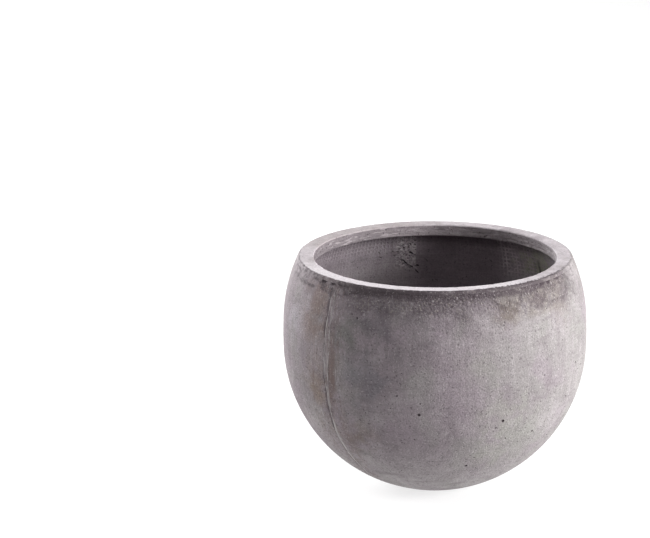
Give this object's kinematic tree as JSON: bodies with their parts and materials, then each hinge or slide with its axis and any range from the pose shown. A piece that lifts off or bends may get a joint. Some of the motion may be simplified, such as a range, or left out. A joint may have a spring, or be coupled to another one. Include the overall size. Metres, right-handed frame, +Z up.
{
  "type": "bowl planter",
  "caption": "Round bellied concrete bowl planter with a thick flat rim, a flat base and a lift-out drain plug.",
  "frame": {"origin": "on the floor under the middle of the flat base", "axes": "+Z up along the bowl's axis of symmetry"},
  "size_m": [0.36, 0.36, 0.277],
  "materials": {
    "face_coat": "matt cast concrete, mottled and weathered",
    "backing_coat": "rough fibre reinforced concrete",
    "glass_net": "woven glass net bedded in slurry",
    "skim_coat": "matt brushed slurry over a net",
    "rim_ring": "trowelled concrete, rubbed pale",
    "plug_rubber": "matt moulded rubber"
  },
  "bodies": {
    "bowl": {"face_coat": "face_coat", "backing_coat": "backing_coat", "wall_net": "glass_net", "base_net": "glass_net", "skim_coat": "skim_coat", "rim_ring": "rim_ring"},
    "plug": {"drain_plug": "plug_rubber"}
  },
  "joints": [
    {"name": "plug_lift", "type": "slide", "parent": "bowl", "child": "plug", "axis": [0, 0, 1], "range_m": [0, 0.29]}
  ]
}
